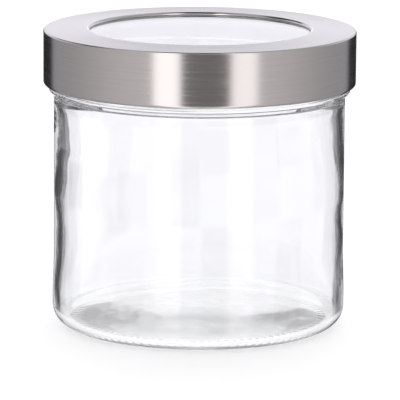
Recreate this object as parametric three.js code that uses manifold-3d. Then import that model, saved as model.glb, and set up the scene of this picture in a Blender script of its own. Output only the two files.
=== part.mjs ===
// A glass storage jar with a screw lid: a drawn steel cap with a round clear window.
// Millimetres, +Z up. The jar stands on z = 0 and its axis is the Z axis.

import * as THREE from 'three';
import { mergeVertices } from 'three/addons/utils/BufferGeometryUtils.js';
import Module from 'manifold-3d';

// Glass jar: body and base
const bodyRadius = 49.0;
const jarHeight = 93.85;
const wallThickness = 2.8;
const baseThickness = 2.6;
const heelRadius = 7.2;
const heelBandProud = 0.4;
const heelBandHeight = 3.5;
const heelBandSlope = 13.0;
const insideCornerRadius = 4.4;
const bearingWidth = 4.0;
const pushUpHeight = 2.0;

// Glass jar: bead under the lid, neck and rim
const beadProud = 1.6;
const beadHeight = 1.0;
const beadSlope = 1.4;
const beadTopRound = 0.4;
const neckStep = 1.0;
const neckWall = 3.2;
const neckInsideSlope = 5.0;
const rimRound = 1.0;

// Screw thread, one start, right hand
const threadPitch = 5.08;
const threadDepth = 1.1;
const threadRootWidth = 2.6;
const threadCrestWidth = 1.0;
const threadTurns = 1.0;
const threadTopLand = 1.1;
const threadRunOutSteps = 5;
const threadRadialClearance = 0.35;
const threadFlankClearance = 0.3;

// Steel cap
const steelThickness = 0.5;
const skirtHeight = 18.5;
const topEdgeInsideRadius = 0.1;
const crownHeight = 0.3;
const crownWidth = 8.0;
const crestWidth = 1.5;
const lipInsideRadius = 0.35;
const hemInsideRadius = 0.7;
const hemFlange = 0.8;
const openingRadius = 36.8;
const skirtToBeadGap = 0.8;

// Window, gasket, insert and seal
const windowThickness = 2.0;
const windowOverlap = 4.5;
const windowEdgeChamfer = 0.3;
const gasketThickness = 0.8;
const gasketWidth = 2.6;
const insertWall = 2.35;
const insertChamfer = 0.8;
const ledgeThickness = 1.2;
const ledgeMargin = 0.5;
const sealThickness = 1.6;
const sealOverhang = 1.0;

// Clearances between pieces that are put together
const seatGap = 0.1;
const shellFit = 0.2;

// How finely round shapes are faceted
const turnSteps = 64;
const filletSteps = 3;
const heelSteps = 5;
const domeSteps = 5;
const beadSteps = 2;
const crownSteps = 4;
const weldDistance = 1e-4;

// Radii that follow from the driving dimensions
const heelBandRadius = bodyRadius + heelBandProud;
const bearingOuterRadius = heelBandRadius - heelRadius;
const bearingInnerRadius = bearingOuterRadius - bearingWidth;
const bodyInsideRadius = bodyRadius - wallThickness;
const beadRadius = bodyRadius + beadProud;
const neckRadius = bodyRadius - neckStep;
const neckInsideRadius = neckRadius - neckWall;
const insertInsideRadius = neckRadius + threadDepth + threadRadialClearance;
const insertOuterRadius = insertInsideRadius + insertWall;
const shellInsideRadius = insertOuterRadius + shellFit;
const lidRadius = shellInsideRadius + steelThickness;
const lipOuterRadius = lipInsideRadius + steelThickness;
const crestRadius = openingRadius + lipOuterRadius + crestWidth;
const crownRadius = crestRadius + crownWidth;
const windowRadius = openingRadius + windowOverlap;
const gasketOuterRadius = windowRadius - shellFit;
const gasketInnerRadius = gasketOuterRadius - gasketWidth;
const sealOuterRadius = insertInsideRadius - shellFit;
const sealInnerRadius = neckInsideRadius - sealOverhang;

// Heights in the lid, counted from the jar's rim
const sealTop = seatGap + sealThickness;
const ceiling = sealTop + seatGap;
const ledgeTop = ceiling + ledgeThickness;
const gasketTop = ledgeTop + seatGap + gasketThickness;
const windowBottom = gasketTop + seatGap;
const windowTop = windowBottom + windowThickness;
const lipEnd = windowTop + seatGap;
const lidTop = lipEnd + lipOuterRadius;
const topRing = lidTop - crownHeight;
const skirtBottom = topRing - skirtHeight;
const insertBottom = skirtBottom + steelThickness + shellFit;
const insertTop = topRing - steelThickness - shellFit;

// Heights on the jar, counted from the surface that it stands on
const beadTop = jarHeight + skirtBottom - skirtToBeadGap;
const beadBottom = beadTop - beadHeight;
const bodyTop = beadBottom - beadSlope;
const neckInsideBottom = beadBottom - neckInsideSlope;

// The jar's ridge climbs to just under the rim. The insert's ridge lies under it, a flank clearance lower.
const ridgeTopCentre = jarHeight - threadTopLand - threadRootWidth / 2;
const ridgeFlankSlope = (threadRootWidth - threadCrestWidth) / 2 / threadDepth;
const ridgeOverlapWidth = threadRootWidth - ridgeFlankSlope * (threadDepth + threadRadialClearance);
const insertRidgeDrop = ridgeOverlapWidth + threadFlankClearance;

const wasm = await Module();
wasm.setup();

// A list of [radius, height] points along an arc, angles in degrees from the outward direction
function arcPoints( radius, height, size, fromAngle, toAngle, steps ) {

	return Array.from( { length: steps + 1 }, ( _, i ) => {

		const angle = THREE.MathUtils.degToRad( fromAngle + ( toAngle - fromAngle ) * i / steps );
		return [ radius + size * Math.cos( angle ), height + size * Math.sin( angle ) ];

	} );

}

// A ring or a round body from its profile, which runs anticlockwise in the (radius, height) plane
function turned( profile ) {

	const points = profile.map( ( [ radius, height ] ) => new THREE.Vector2( radius, height ) );
	const closesOnAxis = profile[ 0 ][ 0 ] === 0;
	if ( ! closesOnAxis ) points.push( points[ 0 ].clone() );
	const geometry = new THREE.LatheGeometry( points, turnSteps );
	geometry.rotateX( Math.PI / 2 );
	return weld( geometry );

}

// The same surface with its shared points merged, so that it is one closed mesh
function weld( geometry ) {

	geometry.deleteAttribute( 'normal' );
	geometry.deleteAttribute( 'uv' );
	return dropFlatTriangles( mergeVertices( geometry, weldDistance ) );

}

// Triangles that have shrunk to a line, such as those at the axis, are left out
function dropFlatTriangles( geometry ) {

	const index = geometry.index.array;
	const kept = [];
	for ( let i = 0; i < index.length; i += 3 ) {

		const [ a, b, c ] = index.slice( i, i + 3 );
		if ( a !== b && b !== c && c !== a ) kept.push( a, b, c );

	}

	geometry.setIndex( kept );
	return geometry;

}

function toSolid( geometry ) {

	const mesh = new wasm.Mesh( {
		numProp: 3,
		vertProperties: new Float32Array( geometry.attributes.position.array ),
		triVerts: new Uint32Array( geometry.index.array ),
	} );
	return new wasm.Manifold( mesh );

}

function toGeometry( solid ) {

	const mesh = solid.getMesh();
	const geometry = new THREE.BufferGeometry();
	geometry.setAttribute( 'position', new THREE.BufferAttribute( mesh.vertProperties, 3 ) );
	geometry.setIndex( new THREE.BufferAttribute( mesh.triVerts, 1 ) );
	return geometry;

}

// A helical ridge on a round wall. It stands out from wallRadius by threadDepth, outwards or inwards, and
// its roots go rootDepth into the wall. It climbs one pitch a turn and runs out to nothing at both ends.
function helicalRidge( { wallRadius, outwards, firstStep, lastStep, heightAtZero, rootDepth } ) {

	const side = outwards ? 1 : - 1;
	const sections = [];
	for ( let step = firstStep; step <= lastStep; step ++ ) {

		const angle = 2 * Math.PI * step / turnSteps;
		const height = heightAtZero + threadPitch * step / turnSteps;
		const stepsFromEnd = Math.min( step - firstStep, lastStep - step );
		const rise = THREE.MathUtils.clamp( ( stepsFromEnd + 0.5 ) / threadRunOutSteps, 0, 1 );
		const root = wallRadius - side * rootDepth;
		const crest = wallRadius + side * threadDepth * rise;
		const crestHalf = threadRootWidth / 2 - ridgeFlankSlope * threadDepth * rise;
		const outline = [
			[ root, - threadRootWidth / 2 ],
			[ wallRadius, - threadRootWidth / 2 ],
			[ crest, - crestHalf ],
			[ crest, crestHalf ],
			[ wallRadius, threadRootWidth / 2 ],
			[ root, threadRootWidth / 2 ],
		];
		sections.push( outline.map( ( [ radius, offset ] ) =>
			new THREE.Vector3( radius * Math.cos( angle ), radius * Math.sin( angle ), height + offset ) ) );

	}

	const corners = sections[ 0 ].length;
	const lastSection = corners * ( sections.length - 1 );
	const triangles = [];
	const addTriangle = ( a, b, c ) => triangles.push( ...( outwards ? [ a, b, c ] : [ a, c, b ] ) );
	for ( let first = 0; first < lastSection; first += corners ) {

		for ( let k = 0; k < corners; k ++ ) {

			const a = first + k;
			const b = first + ( k + 1 ) % corners;
			addTriangle( a, a + corners, b );
			addTriangle( b, a + corners, b + corners );

		}

	}

	for ( let k = 1; k < corners - 1; k ++ ) {

		addTriangle( 0, k, k + 1 );
		addTriangle( lastSection, lastSection + k + 1, lastSection + k );

	}

	const geometry = new THREE.BufferGeometry().setFromPoints( sections.flat() );
	geometry.setIndex( triangles );
	return geometry;

}

// The pushed-up base, from its middle out to the standing ring. Its under side lies at height 0 there.
function basePoints( height ) {

	return Array.from( { length: domeSteps + 1 }, ( _, i ) => {

		const share = i / domeSteps;
		const pushUp = pushUpHeight * ( 1 + Math.cos( Math.PI * share ) ) / 2;
		return [ bearingInnerRadius * share, height + pushUp ];

	} );

}

// Outside of the jar, from the middle of the base up to the rim
function jarOutside() {

	const bandTop = heelRadius + heelBandHeight;
	return [
		...basePoints( 0 ),
		...arcPoints( bearingOuterRadius, heelRadius, heelRadius, - 90, 0, heelSteps ),
		[ heelBandRadius, bandTop ],
		[ bodyRadius, bandTop + heelBandSlope ],
		[ bodyRadius, bodyTop ],
		[ beadRadius, beadBottom ],
		...arcPoints( beadRadius - beadTopRound, beadTop - beadTopRound, beadTopRound, 0, 90, beadSteps ),
		[ neckRadius, beadTop ],
		...arcPoints( neckRadius - rimRound, jarHeight - rimRound, rimRound, 0, 90, filletSteps ),
	];

}

// Inside of the jar, from the rim down to the middle of the floor
function jarInside() {

	const cornerCentre = bodyInsideRadius - insideCornerRadius;
	return [
		...arcPoints( neckInsideRadius + rimRound, jarHeight - rimRound, rimRound, 90, 180, filletSteps ),
		[ neckInsideRadius, beadBottom ],
		[ bodyInsideRadius, neckInsideBottom ],
		...arcPoints( cornerCentre, baseThickness + insideCornerRadius, insideCornerRadius, 0, - 90, heelSteps ),
		...basePoints( baseThickness ).reverse(),
	];

}

function jarGeometry() {

	const lastStep = Math.round( turnSteps * threadTurns );
	const ridge = helicalRidge( {
		wallRadius: neckRadius,
		outwards: true,
		firstStep: 0,
		lastStep,
		heightAtZero: ridgeTopCentre - threadPitch * lastStep / turnSteps,
		rootDepth: neckWall / 2,
	} );
	const jar = turned( [ ...jarOutside(), ...jarInside() ] );
	return toGeometry( toSolid( jar ).add( toSolid( ridge ) ) );

}

// The cap's top rises towards the opening, ever steeper, up to a flat crest beside the lip
function crownPoints( height ) {

	return Array.from( { length: crownSteps + 1 }, ( _, i ) => {

		const share = i / crownSteps;
		return [ crownRadius - crownWidth * share, height + crownHeight * share ** 3 ];

	} );

}

// Drawn sheet cap: each bend is a pair of arcs, one sheet thickness apart
function shellGeometry() {

	const topOuter = topEdgeInsideRadius + steelThickness;
	const hemOuter = hemInsideRadius + steelThickness;
	const lipCentre = [ openingRadius + lipOuterRadius, lidTop - lipOuterRadius ];
	const topCentre = [ lidRadius - topOuter, topRing - topOuter ];
	const hemCentre = [ lidRadius - hemOuter, skirtBottom + hemOuter ];
	const hemEnd = hemCentre[ 0 ] - hemFlange;
	return turned( [
		[ hemEnd, skirtBottom ],
		...arcPoints( ...hemCentre, hemOuter, - 90, 0, filletSteps ),
		...arcPoints( ...topCentre, topOuter, 0, 90, filletSteps ),
		...crownPoints( topRing ),
		...arcPoints( ...lipCentre, lipOuterRadius, 90, 180, filletSteps ),
		...arcPoints( ...lipCentre, lipInsideRadius, 180, 90, filletSteps ),
		...crownPoints( topRing - steelThickness ).reverse(),
		...arcPoints( ...topCentre, topEdgeInsideRadius, 90, 0, filletSteps ),
		...arcPoints( ...hemCentre, hemInsideRadius, 0, - 90, filletSteps ),
		[ hemEnd, skirtBottom + steelThickness ],
	] );

}

function windowGeometry() {

	return turned( [
		[ 0, windowBottom ],
		[ windowRadius - windowEdgeChamfer, windowBottom ],
		[ windowRadius, windowBottom + windowEdgeChamfer ],
		[ windowRadius, windowTop - windowEdgeChamfer ],
		[ windowRadius - windowEdgeChamfer, windowTop ],
		[ 0, windowTop ],
	] );

}

function flatRing( innerRadius, outerRadius, bottom, top ) {

	return turned( [
		[ innerRadius, bottom ],
		[ outerRadius, bottom ],
		[ outerRadius, top ],
		[ innerRadius, top ],
	] );

}

// Threaded ring inside the cap, with the ledge that carries the gasket and the window
function insertGeometry() {

	const rebateRadius = windowRadius + shellFit;
	const ledgeRadius = gasketInnerRadius - ledgeMargin;
	const ring = turned( [
		[ insertInsideRadius, insertBottom ],
		[ insertOuterRadius - insertChamfer, insertBottom ],
		[ insertOuterRadius, insertBottom + insertChamfer ],
		[ insertOuterRadius, insertTop - insertChamfer ],
		[ insertOuterRadius - insertChamfer, insertTop ],
		[ rebateRadius, insertTop ],
		[ rebateRadius, ledgeTop ],
		[ ledgeRadius, ledgeTop ],
		[ ledgeRadius, ceiling ],
		[ insertInsideRadius, ceiling ],
	] );
	const heightAtTop = ridgeTopCentre - jarHeight - insertRidgeDrop;
	const lowestCentre = insertBottom + threadRootWidth / 2;
	const lastStep = Math.round( turnSteps * threadTurns );
	const stepsDown = Math.floor( ( heightAtTop - lowestCentre ) / threadPitch * turnSteps );
	const ridge = helicalRidge( {
		wallRadius: insertInsideRadius,
		outwards: false,
		firstStep: lastStep - Math.min( stepsDown, lastStep ),
		lastStep,
		heightAtZero: heightAtTop - threadPitch * lastStep / turnSteps,
		rootDepth: insertWall / 2,
	} );
	return toGeometry( toSolid( ring ).add( toSolid( ridge ) ) );

}

function piece( name, geometry, look ) {

	const mesh = new THREE.Mesh( geometry, new THREE.MeshStandardMaterial( look ) );
	mesh.name = name;
	return mesh;

}

const clearGlass = { color: 0xf1f4f3, roughness: 0.03, metalness: 0, transparent: true, opacity: 0.35 };
const satinSteel = { color: 0xc9c6c3, roughness: 0.3, metalness: 1 };
const clearPlastic = { color: 0xf4f4f6, roughness: 0.05, metalness: 0, transparent: true, opacity: 0.4 };
const whitePlastic = { color: 0xeeeeec, roughness: 0.45, metalness: 0 };
const silicone = { color: 0xe4e5e3, roughness: 0.6, metalness: 0 };

const gasketGeometry = flatRing( gasketInnerRadius, gasketOuterRadius, ledgeTop + seatGap, gasketTop );
const sealGeometry = flatRing( sealInnerRadius, sealOuterRadius, seatGap, sealTop );

const lid = new THREE.Group();
lid.add(
	piece( 'lid_shell', shellGeometry(), satinSteel ),
	piece( 'lid_window', windowGeometry(), clearPlastic ),
	piece( 'window_gasket', gasketGeometry, silicone ),
	piece( 'lid_insert', insertGeometry(), whitePlastic ),
	piece( 'lid_seal', sealGeometry, silicone ),
);
lid.position.z = jarHeight;

const canister = new THREE.Group();
canister.add( piece( 'glass_jar', jarGeometry(), clearGlass ), lid );

export default canister;
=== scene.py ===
"""Looks of a glass storage jar with a windowed steel screw lid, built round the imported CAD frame.

Outlines are written in millimetres in the CAD frame, +Z up, and become metres when a mesh is made.
"""

import math

import bpy
import numpy as np
from mathutils import Matrix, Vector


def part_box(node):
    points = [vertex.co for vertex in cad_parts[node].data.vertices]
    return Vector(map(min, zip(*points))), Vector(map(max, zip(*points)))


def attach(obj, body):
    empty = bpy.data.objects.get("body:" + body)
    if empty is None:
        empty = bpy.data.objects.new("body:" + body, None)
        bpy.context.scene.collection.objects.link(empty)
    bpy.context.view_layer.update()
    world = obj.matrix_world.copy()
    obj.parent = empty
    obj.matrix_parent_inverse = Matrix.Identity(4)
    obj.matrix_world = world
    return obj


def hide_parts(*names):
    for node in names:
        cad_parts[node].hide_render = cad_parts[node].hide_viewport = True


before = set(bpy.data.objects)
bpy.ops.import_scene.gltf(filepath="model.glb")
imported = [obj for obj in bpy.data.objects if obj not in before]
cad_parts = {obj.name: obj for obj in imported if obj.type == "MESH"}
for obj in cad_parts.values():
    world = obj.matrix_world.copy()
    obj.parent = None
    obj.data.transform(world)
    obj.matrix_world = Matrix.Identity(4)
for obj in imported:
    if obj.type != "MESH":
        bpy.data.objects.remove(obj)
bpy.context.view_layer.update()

MM = 0.001
TURN = 2 * math.pi


def box_mm(node):
    """Lowest and highest corner of a CAD node, in millimetres."""
    low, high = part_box(node)
    return low / MM, high / MM


# Boxes of the CAD nodes
_, JAR_HIGH = box_mm("glass_jar")
SHELL_LOW, SHELL_HIGH = box_mm("lid_shell")
WINDOW_LOW, WINDOW_HIGH = box_mm("lid_window")
GASKET_LOW, GASKET_HIGH = box_mm("window_gasket")
INSERT_LOW, INSERT_HIGH = box_mm("lid_insert")
SEAL_LOW, SEAL_HIGH = box_mm("lid_seal")

# Glass jar: sizes of the CAD source
BODY_RADIUS = 49.0
BASE = 2.6
HEEL_RADIUS = 7.2
HEEL_BAND_PROUD = 0.4
HEEL_BAND_HEIGHT = 3.5
HEEL_BAND_SLOPE = 13.0
INSIDE_CORNER = 4.4
BEARING_WIDTH = 4.0
PUSH_UP = 2.0
SKIRT_TO_BEAD_GAP = 0.8
BEAD_HEIGHT = 1.0
BEAD_SLOPE = 1.4
NECK_STEP = 1.0
NECK_WALL = 3.2
NECK_INSIDE_SLOPE = 5.0

# Glass jar: radii and heights that follow from them
HEEL_BAND_RADIUS = BODY_RADIUS + HEEL_BAND_PROUD
HEEL_BAND_TOP = HEEL_RADIUS + HEEL_BAND_HEIGHT
BODY_BOTTOM = HEEL_BAND_TOP + HEEL_BAND_SLOPE
BEARING_OUTER = HEEL_BAND_RADIUS - HEEL_RADIUS
BEARING_INNER = BEARING_OUTER - BEARING_WIDTH
BEAD_TOP = SHELL_LOW.z - SKIRT_TO_BEAD_GAP
BEAD_BOTTOM = BEAD_TOP - BEAD_HEIGHT
BODY_TOP = BEAD_BOTTOM - BEAD_SLOPE
NECK_RADIUS = BODY_RADIUS - NECK_STEP
NECK_INSIDE = NECK_RADIUS - NECK_WALL

# Glass jar: the scene's own wall, which is thicker at the shoulder
WALL = 2.45
SHOULDER_WALL = 3.3
SHOULDER_LOW = 44.0
SHOULDER_HIGH = 60.0
BODY_INSIDE = BODY_RADIUS - WALL
SHOULDER_INSIDE = BODY_RADIUS - SHOULDER_WALL
FOOT_INSIDE = HEEL_BAND_RADIUS - WALL
FLOOR_EDGE = FOOT_INSIDE - INSIDE_CORNER

# Glass jar: the scene's own roundings. The heel band's slope starts a little above the band.
HEEL_BAND_EDGE = HEEL_BAND_TOP + 1.0
HEEL_BAND_ROUND = 60.0
BODY_BOTTOM_ROUND = 120.0
BODY_TOP_ROUND = 1.2
BEAD_BOTTOM_ROUND = 0.6
BEAD_TOP_ROUND = 0.45
NECK_FOOT_ROUND = 0.6
NECK_INSIDE_ROUND = 6.0
SHOULDER_ROUND = 40.0

# The rim's arc is a little smaller than its depth, so that it ends within its own section
RIM_DEPTH = 1.1
RIM_ROUND = 0.99 * RIM_DEPTH

# Glass jar: where the sections of its outline meet
BASE_SECTION_TOP = HEEL_BAND_TOP - 1.0
WALL_SECTION_BOTTOM = HEEL_BAND_TOP - 0.5
WALL_SECTION_TOP = BEAD_TOP + 1.0
SECTION_STEP = 0.1

# Bars pressed into the ring that the jar stands on
BAR_COUNT = 96
BAR_HEIGHT = 0.28
BAR_INNER = BEARING_OUTER - 1.5
BAR_OUTER = BEARING_OUTER + 2.0
BAR_EASE = 0.8

# Unevenness of the inside of the glass, in waves to each span
WAVE_SPAN = 100.0
WALL_WAVE_EASE = 30.0
FLOOR_WAVE_EASE = 6.0

# Each wave of the inside wall: size, waves round the jar, waves up one span, phase
INSIDE_WAVES = [
    (0.60, 1, 0.0, -0.4),
    (0.08, 1, 2.6, 2.6),
    (0.06, 2, -1.9, 1.0),
    (0.035, 3, 3.3, 2.2),
    (0.02, 5, -4.1, 0.4),
    (0.012, 8, 5.9, 1.7),
]

# Each wave of the inside of the base: size, waves along X and along Y in one span, phase
FLOOR_WAVES = [
    (0.016, 5, 2, 0.3),
    (0.012, -4, 4, 1.9),
    (0.006, 9, -3, 0.8),
    (0.004, 13, 6, 2.7),
]

# Screw thread: sizes of the CAD source, and an eased run-out
PITCH = 5.08
THREAD_DEPTH = 1.1
THREAD_ROOT = 2.6
THREAD_CREST = 1.0
THREAD_TOP_LAND = 1.1
THREAD_RADIAL_CLEARANCE = 0.35
THREAD_FLANK_CLEARANCE = 0.3
THREAD_RUN_OUT = math.radians(28)
THREAD_TOP_CENTRE = JAR_HIGH.z - THREAD_TOP_LAND - THREAD_ROOT / 2
FLANK_WIDTH = (THREAD_ROOT - THREAD_CREST) / 2
FLANK_SLOPE = FLANK_WIDTH / THREAD_DEPTH
INSERT_RIDGE_DROP = (
    THREAD_ROOT - FLANK_SLOPE * (THREAD_DEPTH + THREAD_RADIAL_CLEARANCE) + THREAD_FLANK_CLEARANCE
)

# Lid: sizes of the CAD source
STEEL = 0.5
HEM_ROUND = 1.2
HEM_FLANGE = 0.8
TOP_EDGE_ROUND = 0.6
OPENING_RADIUS = 36.8
CROWN_HEIGHT = 0.3
SEAT_GAP = 0.1
SIDE_FIT = 0.2
INSERT_CHAMFER = 0.8
GASKET_WIDTH = 2.6
LEDGE_MARGIN = 0.5
SEAL_OVERHANG = 1.0

# Lid: radii and heights that follow from them
LIP_END = WINDOW_HIGH.z + SEAT_GAP
TOP_RING = SHELL_HIGH.z - CROWN_HEIGHT
INSERT_INSIDE = NECK_RADIUS + THREAD_DEPTH + THREAD_RADIAL_CLEARANCE
REBATE_RADIUS = WINDOW_HIGH.x + SIDE_FIT
LEDGE_TOP = GASKET_LOW.z - SEAT_GAP
CEILING = SEAL_HIGH.z + SEAT_GAP
GASKET_INNER = GASKET_HIGH.x - GASKET_WIDTH
LEDGE_RADIUS = GASKET_INNER - LEDGE_MARGIN
SEAL_INNER = NECK_INSIDE - SEAL_OVERHANG

# Steel cap: the scene's own crown and lip. The lip is one wide arc that stops short of upright.
CREST_WIDTH = 1.2
CREST_RADIUS = OPENING_RADIUS + CREST_WIDTH
CROWN_RADIUS = 51.0
CROWN_STEPS = 10
LIP_ROUND = 1.06
LIP_SLOPE = math.radians(74)
LIP_FACE = STEEL / math.sin(LIP_SLOPE)
LIP_INSIDE_ROUND = 0.35
LIP_EDGE_ROUND = 0.05
HEM_EDGE_ROUND = 0.15

# Other pieces of the lid: the scene's own roundings
PANE_ROUND = 0.3
GASKET_ROUND = 0.2
SEAL_ROUND = 0.4
INSERT_ROUND = 0.3
REBATE_ROUND = 0.2
CEILING_ROUND = 0.4

# How far from the insert's foot and ceiling its threaded wall starts and ends
INSERT_FOOT = 0.4
INSERT_HEAD = 0.5

# How finely round shapes are divided
TURN_STEPS = 4 * BAR_COUNT
ROUND_STEP = math.radians(8)
WALL_STEP = 1.6
BASE_STEP = 0.9
PANE_STEP = 3 * WALL_STEP
THREAD_STEP = 0.2
UNDERSIDE_POINTS = 24
FLOOR_POINTS = 28

# Gap from the end of a closed outline to its start, which one more row of faces fills
SEAM = 0.02

# Camera, fitted to the photograph's outline
CAMERA_PLACE = (0.00043, -1.3199, 0.29815)
CAMERA_PITCH = math.radians(10.978)
CAMERA_ROLL = 0.0077
CAMERA_LENS = 358.19

# Light goes to and fro inside thick glass this often at most
GLASS_BOUNCES = 100


# Outlines and round bodies

def rounded(corners):
    """Points of an open outline from (radius, height, rounding) corners, every rounding an arc."""
    points = [np.array(corners[0][:2], float)]
    for before, here, after in zip(corners, corners[1:], corners[2:]):
        points += corner_arc(before, here, after)
    points.append(np.array(corners[-1][:2], float))
    return points


def corner_arc(before, here, after):
    """The arc that rounds one corner, or the corner itself where its rounding is 0."""
    corner = np.array(here[:2], float)
    rounding = here[2]
    if rounding == 0:
        return [corner]
    to_before = np.array(before[:2]) - corner
    to_after = np.array(after[:2]) - corner
    to_before /= np.linalg.norm(to_before)
    to_after /= np.linalg.norm(to_after)
    half_angle = math.acos(np.clip(to_before @ to_after, -1, 1)) / 2
    middle = to_before + to_after
    centre = corner + middle / np.linalg.norm(middle) * rounding / math.sin(half_angle)
    first = corner + to_before * rounding / math.tan(half_angle) - centre
    last = corner + to_after * rounding / math.tan(half_angle) - centre
    start = math.atan2(first[1], first[0])
    sweep = math.remainder(math.atan2(last[1], last[0]) - start, TURN)
    steps = max(2, math.ceil(abs(sweep) / ROUND_STEP))
    angles = [start + sweep * step / steps for step in range(steps + 1)]
    return [centre + rounding * np.array((math.cos(a), math.sin(a))) for a in angles]


def divided(points, longest):
    """The same outline with points added, so that no stretch is longer than longest."""
    dense = [points[0]]
    for start, end in zip(points, points[1:]):
        steps = max(1, math.ceil(np.linalg.norm(end - start) / longest))
        dense += [start + (end - start) * step / steps for step in range(1, steps + 1)]
    return dense


def turned(name, sections, closed):
    """A round body from sections of an outline: their points, and a function that shifts them or None."""
    angles = np.arange(TURN_STEPS) * TURN / TURN_STEPS
    vertices = []
    rings = []
    for points, shift in sections:
        for radius, height in points:
            radii = np.full(TURN_STEPS, radius)
            heights = np.full(TURN_STEPS, height)
            if shift:
                radii, heights = shift(angles, radii, heights)
            first = len(vertices)
            if radius == 0:
                rings.append([first] * (TURN_STEPS + 1))
                vertices.append((0, 0, heights[0] * MM))
                continue
            rings.append([first + k for k in range(TURN_STEPS)] + [first])
            ring = np.column_stack((radii * np.cos(angles), radii * np.sin(angles), heights))
            vertices.extend(ring * MM)
    if closed:
        rings.append(rings[0])
    return round_piece(name, vertices, rings)


def round_piece(name, vertices, rings):
    """A smooth mesh piece with faces between each ring and the next. A ring at the axis is one vertex."""
    faces = []
    for low, high in zip(rings, rings[1:]):
        for k in range(TURN_STEPS):
            corners = dict.fromkeys((low[k], low[k + 1], high[k + 1], high[k]))
            faces.append(list(corners))
    mesh = bpy.data.meshes.new(name)
    mesh.from_pydata(vertices, [], faces)
    mesh.shade_smooth()
    piece = bpy.data.objects.new(name, mesh)
    bpy.context.scene.collection.objects.link(piece)
    return piece


def place(piece, material, body, node):
    """Gives a piece its material and its body, in place of one CAD node."""
    piece.data.materials.append(material)
    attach(piece, body)
    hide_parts(node)


def smooth(share):
    """Eases a share from 0 to 1 in and out."""
    share = np.clip(share, 0, 1)
    return share * share * (3 - 2 * share)


def ridge(angles, heights, top_centre, first_angle):
    """How far the thread stands out. It climbs one pitch to top_centre, and runs out at both ends."""
    centre = top_centre - PITCH * (1 - angles / TURN)
    across = (THREAD_ROOT / 2 - np.abs(heights - centre)) / FLANK_WIDTH
    from_end = np.minimum(angles - first_angle, TURN - angles) / THREAD_RUN_OUT
    return THREAD_DEPTH * smooth(across) * smooth(from_end)


# Glass jar

def standing_bars(angles, radii, heights):
    """Short radial bars under the standing ring: the glass is lifted a little between them."""
    on_ring = smooth((radii - BAR_INNER) / BAR_EASE) * smooth((BAR_OUTER - radii) / BAR_EASE)
    off_bar = 0.5 - 0.5 * np.cos(BAR_COUNT * angles)
    at_front = 0.5 - 0.5 * np.sin(angles)
    return radii, heights + BAR_HEIGHT * on_ring * off_bar * at_front


def jar_thread(angles, radii, heights):
    """The jar's ridge stands out from the neck."""
    return radii + ridge(angles, heights, THREAD_TOP_CENTRE, 0), heights


def wall_waves(angles, heights):
    """How far the inside wall swings out. The neck and the inside corner stay true."""
    waves = sum(
        size * np.cos(round_jar * angles + TURN * up * heights / WAVE_SPAN + phase)
        for size, round_jar, up, phase in INSIDE_WAVES
    )
    low = smooth((heights - BASE - INSIDE_CORNER) / WALL_WAVE_EASE)
    high = smooth((BEAD_TOP - heights) / WALL_WAVE_EASE)
    return waves * low * high


def floor_dents(angles, radii):
    """How far shallow dents lift the inside of the base. They fade out towards its corner."""
    x = radii * np.cos(angles)
    y = radii * np.sin(angles)
    dents = sum(
        size * np.cos(TURN * (along_x * x + along_y * y) / WAVE_SPAN + phase)
        for size, along_x, along_y, phase in FLOOR_WAVES
    )
    return dents * smooth((FLOOR_EDGE - radii) / FLOOR_WAVE_EASE)


def inside_waves(angles, radii, heights):
    """The inside of pressed glass isn't quite round, straight or flat."""
    return radii + wall_waves(angles, heights), heights + floor_dents(angles, radii)


def dome(radius):
    """How high the middle of the base is pushed up."""
    share = min(1, radius / BEARING_INNER)
    return PUSH_UP * (1 + math.cos(math.pi * share)) / 2


def jar_base_outline():
    """From the middle of the underside over the standing ring and up the heel."""
    under = [(radius, dome(radius), 0) for radius in np.linspace(0, BEARING_INNER, UNDERSIDE_POINTS)]
    return divided(rounded([
        *under,
        (HEEL_BAND_RADIUS, 0, HEEL_RADIUS),
        (HEEL_BAND_RADIUS, BASE_SECTION_TOP, 0),
    ]), BASE_STEP)


def jar_wall_outline():
    """Up the outside of the wall and over the bead to the foot of the neck."""
    return divided(rounded([
        (HEEL_BAND_RADIUS, WALL_SECTION_BOTTOM, 0),
        (HEEL_BAND_RADIUS, HEEL_BAND_EDGE, HEEL_BAND_ROUND),
        (BODY_RADIUS, BODY_BOTTOM, BODY_BOTTOM_ROUND),
        (BODY_RADIUS, BODY_TOP, BODY_TOP_ROUND),
        (JAR_HIGH.x, BEAD_BOTTOM, BEAD_BOTTOM_ROUND),
        (JAR_HIGH.x, BEAD_TOP, BEAD_TOP_ROUND),
        (NECK_RADIUS, BEAD_TOP, NECK_FOOT_ROUND),
        (NECK_RADIUS, WALL_SECTION_TOP, 0),
    ]), WALL_STEP)


def jar_neck_outline():
    """Up the outside of the neck, finely divided for the thread."""
    return divided([
        np.array((NECK_RADIUS, WALL_SECTION_TOP + SECTION_STEP)),
        np.array((NECK_RADIUS, JAR_HIGH.z - RIM_DEPTH - SECTION_STEP)),
    ], THREAD_STEP)


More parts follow.
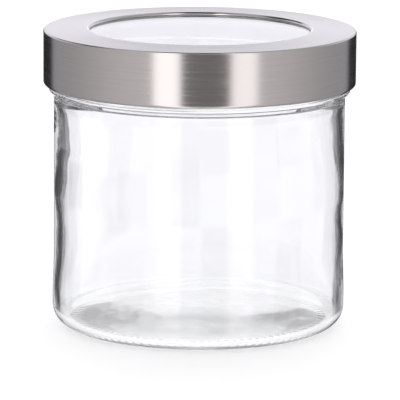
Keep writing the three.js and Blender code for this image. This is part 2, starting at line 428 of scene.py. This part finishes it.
def jar_inside_outline():
    """Over the rim and down the inside to the middle of the base."""
    floor_radii = np.linspace(FLOOR_EDGE, 0, FLOOR_POINTS)[1:]
    floor = [(radius, BASE + dome(radius), 0) for radius in floor_radii]
    return divided(rounded([
        (NECK_RADIUS, JAR_HIGH.z - RIM_DEPTH, 0),
        (NECK_RADIUS, JAR_HIGH.z, RIM_ROUND),
        (NECK_INSIDE, JAR_HIGH.z, RIM_ROUND),
        (NECK_INSIDE, BEAD_BOTTOM, NECK_INSIDE_ROUND),
        (SHOULDER_INSIDE, BEAD_BOTTOM - NECK_INSIDE_SLOPE, NECK_INSIDE_ROUND),
        (SHOULDER_INSIDE, SHOULDER_HIGH, SHOULDER_ROUND),
        (BODY_INSIDE, SHOULDER_LOW, SHOULDER_ROUND),
        (BODY_INSIDE, BODY_BOTTOM, BODY_BOTTOM_ROUND),
        (FOOT_INSIDE, HEEL_BAND_EDGE, HEEL_BAND_ROUND),
        (FOOT_INSIDE, BASE, INSIDE_CORNER),
        *floor,
    ]), WALL_STEP)


def make_jar():
    return turned("jar", [
        (jar_base_outline(), standing_bars),
        (jar_wall_outline(), None),
        (jar_neck_outline(), jar_thread),
        (jar_inside_outline(), inside_waves),
    ], closed=False)


# Lid

def crown(lowered):
    """Corners of the cap's top, which rises from its outer ring to the crest beside the lip."""
    corners = []
    for step in range(CROWN_STEPS + 1):
        share = step / CROWN_STEPS
        radius = CROWN_RADIUS + (CREST_RADIUS - CROWN_RADIUS) * share
        corners.append((radius, TOP_RING - lowered + CROWN_HEIGHT * share**2, 0))
    return corners


def lip_lean(height):
    """How far the lip leans out at a height above its end."""
    return (height - LIP_END) / math.tan(LIP_SLOPE)


def make_shell():
    """The steel cap: from the hem over the skirt, the crown and the lip, and back along the inside."""
    radius = SHELL_HIGH.x
    top = SHELL_HIGH.z
    bottom = SHELL_LOW.z
    hem_end = radius - HEM_ROUND - HEM_FLANGE
    lip_inside = OPENING_RADIUS + LIP_FACE
    return turned("lid_cap", [(divided(rounded([
        (hem_end, bottom + STEEL / 2, 0),
        (hem_end, bottom, HEM_EDGE_ROUND),
        (radius, bottom, HEM_ROUND),
        (radius, TOP_RING, TOP_EDGE_ROUND),
        *crown(0),
        (OPENING_RADIUS + lip_lean(top), top, LIP_ROUND),
        (OPENING_RADIUS, LIP_END, LIP_EDGE_ROUND),
        (lip_inside, LIP_END, LIP_EDGE_ROUND),
        (lip_inside + lip_lean(top - STEEL), top - STEEL, LIP_INSIDE_ROUND),
        *reversed(crown(STEEL)),
        (radius - STEEL, TOP_RING - STEEL, TOP_EDGE_ROUND - STEEL),
        (radius - STEEL, bottom + STEEL, HEM_ROUND - STEEL),
        (hem_end, bottom + STEEL, HEM_EDGE_ROUND),
        (hem_end, bottom + STEEL / 2 + SEAM, 0),
    ]), WALL_STEP), None)], closed=True)


def make_window():
    """The clear pane under the lip."""
    return turned("lid_pane", [(divided(rounded([
        (0, WINDOW_LOW.z, 0),
        (WINDOW_HIGH.x, WINDOW_LOW.z, PANE_ROUND),
        (WINDOW_HIGH.x, WINDOW_HIGH.z, PANE_ROUND),
        (0, WINDOW_HIGH.z, 0),
    ]), PANE_STEP), None)], closed=False)


def make_flat_ring(name, inner, low, high, rounding):
    """A flat ring with rounded edges, which fills a CAD node's box outwards from its inner radius."""
    middle = (low.z + high.z) / 2
    return turned(name, [(rounded([
        (inner, middle - SEAM / 2, 0),
        (inner, low.z, rounding),
        (high.x, low.z, rounding),
        (high.x, high.z, rounding),
        (inner, high.z, rounding),
        (inner, middle + SEAM / 2, 0),
    ]), None)], closed=True)


def insert_thread(angles, radii, heights):
    """The insert's ridge stands inwards, below the jar's, and starts no lower than the insert's foot."""
    top_centre = THREAD_TOP_CENTRE - INSERT_RIDGE_DROP
    lowest_centre = INSERT_LOW.z + THREAD_ROOT / 2
    first_angle = TURN * (1 - min(1, (top_centre - lowest_centre) / PITCH))
    return radii - ridge(angles, heights, top_centre, first_angle), heights


def make_insert():
    """The moulded ring in the cap, with the ledge that carries the pane and the threaded wall."""
    radius = INSERT_HIGH.x
    foot = INSERT_LOW.z + INSERT_FOOT
    head = CEILING - INSERT_HEAD
    body = divided(rounded([
        (INSERT_INSIDE, foot, 0),
        (INSERT_INSIDE, INSERT_LOW.z, INSERT_ROUND),
        (radius - INSERT_CHAMFER, INSERT_LOW.z, INSERT_ROUND),
        (radius, INSERT_LOW.z + INSERT_CHAMFER, INSERT_ROUND),
        (radius, INSERT_HIGH.z - INSERT_CHAMFER, INSERT_ROUND),
        (radius - INSERT_CHAMFER, INSERT_HIGH.z, INSERT_ROUND),
        (REBATE_RADIUS, INSERT_HIGH.z, REBATE_ROUND),
        (REBATE_RADIUS, LEDGE_TOP, REBATE_ROUND),
        (LEDGE_RADIUS, LEDGE_TOP, INSERT_ROUND),
        (LEDGE_RADIUS, CEILING, INSERT_ROUND),
        (INSERT_INSIDE, CEILING, CEILING_ROUND),
        (INSERT_INSIDE, head, 0),
    ]), WALL_STEP)
    wall = divided([
        np.array((INSERT_INSIDE, head - SECTION_STEP)),
        np.array((INSERT_INSIDE, foot + SECTION_STEP)),
    ], THREAD_STEP)
    return turned("lid_thread_ring", [(body, None), (wall, insert_thread)], closed=True)


# Nodes

def feed(tree, socket, value):
    """Sets a socket to a number or a colour, or links it to another node's output."""
    if isinstance(value, bpy.types.NodeSocket):
        tree.links.new(value, socket)
    else:
        socket.default_value = value


def calculate(tree, operation, *values):
    """The output of a Math node."""
    node = tree.nodes.new("ShaderNodeMath")
    node.operation = operation
    for socket, value in zip(node.inputs, values):
        feed(tree, socket, value)
    return node.outputs[0]


def multiplied(tree, first, second):
    return calculate(tree, "MULTIPLY", first, second)


def eased(tree, value, start, end, low=0.0, high=1.0):
    """Goes from low to high as value goes from start to end, eased at both ends."""
    node = tree.nodes.new("ShaderNodeMapRange")
    node.interpolation_type = "SMOOTHSTEP"
    for name, number in (("From Min", start), ("From Max", end), ("To Min", low), ("To Max", high)):
        node.inputs[name].default_value = number
    tree.links.new(value, node.inputs["Value"])
    return node.outputs[0]


def between(tree, value, first, last, soft):
    """1 where a value lies between first and last, with soft edges."""
    rise = eased(tree, value, first - soft / 2, first + soft / 2)
    fall = eased(tree, value, last - soft / 2, last + soft / 2, 1, 0)
    return multiplied(tree, rise, fall)


def mixed(tree, factor, first, second, kind="FLOAT"):
    """A number that goes from first to second with factor, or a colour where kind is RGBA."""
    node = tree.nodes.new("ShaderNodeMix")
    node.data_type = kind
    for name, value in (("Factor", factor), ("A", first), ("B", second)):
        feed(tree, node.inputs[name], value)
    return node.outputs["Result"]


def mixed_colour(tree, factor, first, second):
    """A colour that goes from first to second with factor."""
    return mixed(tree, factor, first, second, kind="RGBA")


def noise(tree, vector, scale, detail):
    node = tree.nodes.new("ShaderNodeTexNoise")
    node.inputs["Scale"].default_value = scale
    node.inputs["Detail"].default_value = detail
    tree.links.new(vector, node.inputs["Vector"])
    return node.outputs["Fac"]


def bump(tree, shader, height, strength, distance):
    node = tree.nodes.new("ShaderNodeBump")
    node.inputs["Strength"].default_value = strength
    node.inputs["Distance"].default_value = distance
    tree.links.new(height, node.inputs["Height"])
    tree.links.new(node.outputs["Normal"], shader.inputs["Normal"])


def object_coordinates(tree):
    return tree.nodes.new("ShaderNodeTexCoord").outputs["Object"]


def split_vector(tree, vector):
    """The X, Y and Z of a vector."""
    node = tree.nodes.new("ShaderNodeSeparateXYZ")
    tree.links.new(vector, node.inputs[0])
    return node.outputs


def light_path(tree):
    return tree.nodes.new("ShaderNodeLightPath").outputs


# Materials

# Most of a noise lies between these two values
NOISE_RANGE = (0.3, 0.7)

# Brushed steel
STEEL_DARK = (0.54, 0.522, 0.518, 1)
STEEL_PALE = (0.61, 0.592, 0.588, 1)
STEEL_ROUGHNESS = (0.19, 0.25)
LIP_POLISH = 0.35
POLISH_EASE = 0.4
LINES_PER_METRE = 900


def new_material(name):
    """A material with nodes: its tree and its shader."""
    material = bpy.data.materials.new(name)
    material.use_nodes = True
    shader = material.node_tree.nodes["Principled BSDF"]
    return material, material.node_tree, shader


def glass_material():
    """Clear glass with faint ripples."""
    material, tree, shader = new_material("jar_glass")
    shader.inputs["Base Color"].default_value = (0.99, 0.995, 0.994, 1)
    shader.inputs["Transmission Weight"].default_value = 1
    shader.inputs["IOR"].default_value = 1.52
    shader.inputs["Roughness"].default_value = 0
    ripples = noise(tree, object_coordinates(tree), scale=90, detail=2)
    bump(tree, shader, ripples, strength=0.02, distance=0.002)
    return material


def pane_material():
    """A clear pane, faintly blue, with a trace of haze."""
    material, tree, shader = new_material("pane_plastic")
    shader.inputs["Base Color"].default_value = (0.985, 0.985, 1, 1)
    shader.inputs["Transmission Weight"].default_value = 1
    shader.inputs["IOR"].default_value = 1.5
    shader.inputs["Roughness"].default_value = 0.02
    haze = noise(tree, object_coordinates(tree), scale=40, detail=3)
    bump(tree, shader, haze, strength=0.004, distance=0.001)
    return material


def axis_distance(tree, x, y):
    """How far a point lies from the jar's axis, in metres."""
    squares = calculate(tree, "ADD", multiplied(tree, x, x), multiplied(tree, y, y))
    return calculate(tree, "SQRT", squares)


def brushed_coordinates(tree, x, y, z, radius):
    """Long round the axis, fine across it: up the skirt and outwards over the top."""
    join = tree.nodes.new("ShaderNodeCombineXYZ")
    across = calculate(tree, "ADD", radius, z)
    tree.links.new(calculate(tree, "DIVIDE", x, radius), join.inputs[0])
    tree.links.new(calculate(tree, "DIVIDE", y, radius), join.inputs[1])
    tree.links.new(multiplied(tree, across, LINES_PER_METRE), join.inputs[2])
    return join.outputs[0]


def steel_material():
    """Steel brushed round the axis. The lip round the pane is polished."""
    material, tree, shader = new_material("brushed_steel")
    x, y, z = split_vector(tree, object_coordinates(tree))
    radius = axis_distance(tree, x, y)
    lines = noise(tree, brushed_coordinates(tree, x, y, z, radius), scale=2.5, detail=4)
    tree.links.new(mixed_colour(tree, lines, STEEL_DARK, STEEL_PALE), shader.inputs["Base Color"])
    satin = eased(tree, lines, *NOISE_RANGE, *STEEL_ROUGHNESS)
    polished_from = (CREST_RADIUS - POLISH_EASE) * MM
    polish = eased(tree, radius, polished_from, CREST_RADIUS * MM, LIP_POLISH, 1)
    tree.links.new(multiplied(tree, satin, polish), shader.inputs["Roughness"])
    shader.inputs["Metallic"].default_value = 1
    shader.inputs["Anisotropic"].default_value = 0.75
    shader.inputs["Anisotropic Rotation"].default_value = 0.25
    tangent = tree.nodes.new("ShaderNodeTangent")
    tangent.direction_type = "RADIAL"
    tangent.axis = "Z"
    tree.links.new(tangent.outputs[0], shader.inputs["Tangent"])
    bump(tree, shader, lines, strength=0.02, distance=0.0004)
    return material


def moulded_material(name, pale, dark, roughness, grain):
    """Moulded plastic or silicone: a faint cloudy colour and a fine grain."""
    material, tree, shader = new_material(name)
    place_on = object_coordinates(tree)
    clouds = noise(tree, place_on, scale=35, detail=3)
    tree.links.new(mixed_colour(tree, clouds, dark, pale), shader.inputs["Base Color"])
    tree.links.new(eased(tree, clouds, *NOISE_RANGE, *roughness), shader.inputs["Roughness"])
    bump(tree, shader, noise(tree, place_on, scale=1500, detail=2), strength=grain, distance=0.0003)
    return material


# Floor, in metres. Seen through glass it glows by itself, most in front and least round the jar's far side:
# that fall-off is painted shade, standing for the jar's shadow on the floor behind it.

FLOOR_HALF = 4.0
FLOOR_LEVEL = -0.00005
FLOOR_GLOW = 0.6
# Painted shade: the glow through glass fades from front to back, and is darker again in a ring round the
# jar's far side
GLOW_THROUGH_GLASS_WITH_PAINTED_SHADE = (-0.036, -0.018, 0.84, 0.70)
FAR_RING_PAINTED_SHADE = (0.045, 0.052, 1, 0.77)
PAINTED_SHADE_FAR_SIDE = (0, 0.03)
FLOOR_ENDS = (0.043, 0.08)


def make_floor():
    half = FLOOR_HALF
    corners = [(-half, -half), (half, -half), (half, half), (-half, half)]
    mesh = bpy.data.meshes.new("floor")
    mesh.from_pydata([(x, y, FLOOR_LEVEL) for x, y in corners], [], [(0, 1, 2, 3)])
    mesh.materials.append(floor_material())
    floor = bpy.data.objects.new("floor", mesh)
    bpy.context.scene.collection.objects.link(floor)
    floor.visible_glossy = False


def floor_material():
    """A pale floor. Glass shows it near the jar, and further away the studio behind it, as metal does. Seen
    through glass its glow carries painted shade: darker behind the jar and in a ring round its far side.
    """
    material, tree, shader = new_material("pale_floor")
    shader.inputs["Base Color"].default_value = (0.5, 0.5, 0.51, 1)
    shader.inputs["Roughness"].default_value = 1
    shader.inputs["Specular IOR Level"].default_value = 0
    shader.inputs["Emission Color"].default_value = (1, 1, 1, 1)
    paths = light_path(tree)
    through_glass = paths["Is Transmission Ray"]
    place_on = object_coordinates(tree)
    length = tree.nodes.new("ShaderNodeVectorMath")
    length.operation = "LENGTH"
    tree.links.new(place_on, length.inputs[0])
    distance = length.outputs["Value"]
    away = split_vector(tree, place_on)["Y"]
    glow = multiplied(tree, paths["Is Camera Ray"], FLOOR_GLOW)
    # Painted shade: the glow seen through glass is lower on the jar's far side, and lowest in a ring close
    # round the jar
    far_ring_painted_shade = mixed(tree, eased(tree, away, *PAINTED_SHADE_FAR_SIDE), 1.0, eased(tree, distance, *FAR_RING_PAINTED_SHADE))
    glow_through_with_painted_shade = multiplied(tree, eased(tree, away, *GLOW_THROUGH_GLASS_WITH_PAINTED_SHADE), far_ring_painted_shade)
    tree.links.new(mixed(tree, through_glass, glow, glow_through_with_painted_shade), shader.inputs["Emission Strength"])
    clear = multiplied(tree, eased(tree, distance, *FLOOR_ENDS), through_glass)
    mix = tree.nodes.new("ShaderNodeMixShader")
    tree.links.new(clear, mix.inputs[0])
    tree.links.new(shader.outputs[0], mix.inputs[1])
    tree.links.new(tree.nodes.new("ShaderNodeBsdfTransparent").outputs[0], mix.inputs[2])
    tree.links.new(mix.outputs[0], tree.nodes["Material Output"].inputs["Surface"])
    return material


# Studio. Angles are in degrees. An eased stretch is (start, end) or (start, end, first level, last level),
# and a soft-edged one is (first, last, width of its edges).

WHITE = (1, 1, 1, 1)
WARM_WHITE = (1, 0.965, 0.965, 1)
COOL_WHITE = (0.985, 0.98, 1.04, 1)
GLASS_WHITE = (0.985, 0.98, 1.02, 1)
COOL_SIDES = (90, 40)

# Light on matt surfaces, by the Y of its direction: most of it comes from behind
SOFT_LIGHT = (0.3, 1, 0.78, 3.0)

# What metal mirrors, by the angle from the front: grey sides, and behind two dark flags beside a strip
DARK = 0.02
SIDES = (40, 130, 0.74, 0.40)
SKIRT_FLAGS = [(-172, -138, 10), (140, 172, 10)]
SKIRT_FLAG_FOOT = (-28, -20)
BACK_STRIP = (172, 200, 6)
BACK_STRIP_LEVEL = 1.15

# In front, two strip lights with a gap between them, which is dark but for its top and its foot
GAP = (-14, 23, 5)
GAP_LEVEL = (-2, 10, 0.222, 0.05)
GAP_TOP = (26, 34)
GAP_TOP_LEVEL = 1.5
GAP_FOOT = (-30, -38)
GAP_FOOT_LEVEL = 0.7
STRIP_LIGHTS = [((-34, -14, 5), 1.84), ((23, 43, 7), 1.59)]

# Above the horizon behind, a sky that fades upwards, with a panel straight behind
SKY_FOOT = (1, 6)
SKY_SIDES = (90, 130)
SKY_LOW = (3, 7, 1.35, 0.93)
SKY_MIDDLE = (9, 12)
SKY_MIDDLE_LEVEL = 1.05
SKY_FADE = (12, 30, 1, 0.62)
PANEL_SIDES = (178, 190, 0.8)
PANEL_HEIGHT = (7.2, 10, 1)
PANEL_LEVEL = 1.44

# Dark cards that the lip mirrors: their stretch from the front, their stretch upwards
DARK_CARDS = [
    ((-166, -141, 4), (24, 46, 4)),
    ((-143, -98, 4), (35, 54, 4)),
]

# A dark strip overhead, by the elevation, X and Y of the direction
OVERHEAD = (46, 52)
OVERHEAD_ACROSS = (-0.22, 0.22, 0.1)
OVERHEAD_END = (0.55, 0.45)

# What glass shows, by the angle from straight behind: white in waves, and above it a grey with darker sides
WAVES_ROUND = 8
WHITE_WAVES = (0.8, 0.55, 1.03, 1.09)
GREY_ABOVE = (12, 22, 0.9, 0.4)
DARK_WAVES = (0.88, 0.81)
DARK_WAVES_LEVEL = 0.03
WHITE_TOP = (20, 23)
GREY_FOOT = (7.5, 10.5)
GREY_LIFT = (-3, 3, 5, -1.5)

# Dark flags that glass shows: their stretch from straight behind, their stretch upwards
FLAG_LEVEL = 0.09
GLASS_FLAGS = [
    ((-48, -19.5, 3), (-17, 17, 6)),
    ((15.5, 44, 3), (-17, 17, 6)),
    ((-135, -109.5, 3), (-8, 8, 6)),
    ((-70.5, -50, 3), (-8, 8, 6)),
    ((90, 115.5, 3), (-26, -8, 6)),
    ((154.5, 180, 3), (-26, -8, 6)),
    ((-93, -64.5, 3), (-34, -19, 6)),
    ((-29.5, -1, 3), (-34, -19, 6)),
]


def make_world():
    """A white studio, in which metal and glass each see cards of their own."""
    world = bpy.data.worlds.new("studio")
    bpy.context.scene.world = world
    world.use_nodes = True
    world.cycles.sampling_method = "NONE"
    tree = world.node_tree
    x, y, z = split_vector(tree, tree.nodes.new("ShaderNodeTexCoord").outputs["Generated"])
    elevation = calculate(tree, "DEGREES", calculate(tree, "ARCSINE", z))
    from_back = calculate(tree, "DEGREES", calculate(tree, "ARCTAN2", x, y))
    paths = light_path(tree)
    level = mixed(tree, paths["Is Glossy Ray"], 1.0, metal_studio(tree, x, y, elevation))
    level = mixed(tree, paths["Is Transmission Ray"], level, glass_studio(tree, from_back, elevation))
    after_diffuse = calculate(tree, "MINIMUM", paths["Diffuse Depth"], 1.0)
    level = mixed(tree, after_diffuse, level, eased(tree, y, *SOFT_LIGHT))
    level = mixed(tree, paths["Is Camera Ray"], level, 1.0)
    background = tree.nodes["Background"]
    tree.links.new(studio_colour(tree, paths, from_back), background.inputs["Color"])
    tree.links.new(level, background.inputs["Strength"])


def studio_colour(tree, paths, from_back):
    """Metal sees cool white behind and warm white in front, and glass a faintly blue white."""
    behind = eased(tree, calculate(tree, "ABSOLUTE", from_back), *COOL_SIDES)
    colour = mixed_colour(tree, behind, WARM_WHITE, COOL_WHITE)
    colour = mixed_colour(tree, paths["Is Glossy Ray"], WHITE, colour)
    colour = mixed_colour(tree, paths["Is Transmission Ray"], colour, GLASS_WHITE)
    return mixed_colour(tree, paths["Is Camera Ray"], colour, WHITE)


def metal_studio(tree, x, y, elevation):
    """How bright the studio is that metal mirrors."""
    towards_front = multiplied(tree, y, -1)
    from_front = calculate(tree, "DEGREES", calculate(tree, "ARCTAN2", x, towards_front))
    aside = calculate(tree, "ABSOLUTE", from_front)
    level = eased(tree, aside, *SIDES)
    above_foot = eased(tree, elevation, *SKIRT_FLAG_FOOT)
    for stretch in SKIRT_FLAGS:
        flag = multiplied(tree, between(tree, from_front, *stretch), above_foot)
        level = mixed(tree, flag, level, DARK)
    level = mixed(tree, between(tree, aside, *BACK_STRIP), level, BACK_STRIP_LEVEL)
    level = mixed(tree, between(tree, from_front, *GAP), level, metal_gap(tree, elevation))
    for stretch, brightness in STRIP_LIGHTS:
        level = mixed(tree, between(tree, from_front, *stretch), level, brightness)
    above_behind = multiplied(tree, eased(tree, elevation, *SKY_FOOT), eased(tree, aside, *SKY_SIDES))
    level = mixed(tree, above_behind, level, metal_sky(tree, aside, elevation))
    for stretch, upwards in DARK_CARDS:
        card = multiplied(tree, between(tree, from_front, *stretch), between(tree, elevation, *upwards))
        level = mixed(tree, card, level, DARK)
    strip = multiplied(tree, eased(tree, elevation, *OVERHEAD), between(tree, x, *OVERHEAD_ACROSS))
    strip = multiplied(tree, strip, eased(tree, y, *OVERHEAD_END))
    return mixed(tree, strip, level, DARK)


def metal_gap(tree, elevation):
    """How bright the gap between the strip lights is."""
    level = eased(tree, elevation, *GAP_LEVEL)
    level = mixed(tree, eased(tree, elevation, *GAP_TOP), level, GAP_TOP_LEVEL)
    return mixed(tree, eased(tree, elevation, *GAP_FOOT), level, GAP_FOOT_LEVEL)


def metal_sky(tree, aside, elevation):
    """How bright the sky behind is."""
    level = eased(tree, elevation, *SKY_LOW)
    level = mixed(tree, eased(tree, elevation, *SKY_MIDDLE), level, SKY_MIDDLE_LEVEL)
    level = multiplied(tree, level, eased(tree, elevation, *SKY_FADE))
    panel = multiplied(tree, between(tree, aside, *PANEL_SIDES), between(tree, elevation, *PANEL_HEIGHT))
    return mixed(tree, panel, level, PANEL_LEVEL)


def glass_studio(tree, from_back, elevation):
    """How bright the studio is that glass shows."""
    wave = calculate(tree, "COSINE", multiplied(tree, from_back, math.radians(WAVES_ROUND)))
    white = eased(tree, wave, *WHITE_WAVES)
    above = eased(tree, elevation, *GREY_ABOVE)
    above = mixed(tree, eased(tree, wave, *DARK_WAVES), above, DARK_WAVES_LEVEL)
    above = mixed(tree, eased(tree, elevation, *WHITE_TOP), above, white)
    lifted = calculate(tree, "ADD", elevation, eased(tree, from_back, *GREY_LIFT))
    level = mixed(tree, eased(tree, lifted, *GREY_FOOT), white, above)
    for stretch, upwards in GLASS_FLAGS:
        flag = multiplied(tree, between(tree, from_back, *stretch), between(tree, elevation, *upwards))
        level = mixed(tree, flag, level, FLAG_LEVEL)
    return level


def make_camera():
    data = bpy.data.cameras.new("camera")
    data.sensor_width = 36
    data.lens = CAMERA_LENS
    data.clip_start = 0.01
    data.clip_end = 100
    camera = bpy.data.objects.new("camera", data)
    bpy.context.scene.collection.objects.link(camera)
    tilt = Matrix.Rotation(math.pi / 2 - CAMERA_PITCH, 4, "X")
    roll = Matrix.Rotation(CAMERA_ROLL, 4, "Z")
    camera.matrix_world = Matrix.Translation(CAMERA_PLACE) @ tilt @ roll
    bpy.context.scene.camera = camera


# The whole scene

make_camera()
make_floor()
make_world()
bpy.context.scene.view_settings.view_transform = "Standard"
for kind in ("max", "diffuse", "glossy", "transmission"):
    setattr(bpy.context.scene.cycles, f"{kind}_bounces", GLASS_BOUNCES)

silicone = moulded_material(
    "silicone",
    pale=(0.88, 0.89, 0.88, 1),
    dark=(0.84, 0.85, 0.84, 1),
    roughness=(0.45, 0.55),
    grain=0.05,
)
plastic = moulded_material(
    "white_plastic",
    pale=(0.94, 0.94, 0.935, 1),
    dark=(0.91, 0.91, 0.905, 1),
    roughness=(0.35, 0.45),
    grain=0.08,
)
place(make_jar(), glass_material(), "jar", "glass_jar")
place(make_shell(), steel_material(), "lid", "lid_shell")
place(make_window(), pane_material(), "lid", "lid_window")
place(make_insert(), plastic, "lid", "lid_insert")
gasket = make_flat_ring("pane_gasket", GASKET_INNER, GASKET_LOW, GASKET_HIGH, GASKET_ROUND)
place(gasket, silicone, "lid", "window_gasket")
seal = make_flat_ring("lid_sealing_ring", SEAL_INNER, SEAL_LOW, SEAL_HIGH, SEAL_ROUND)
place(seal, silicone, "seal", "lid_seal")
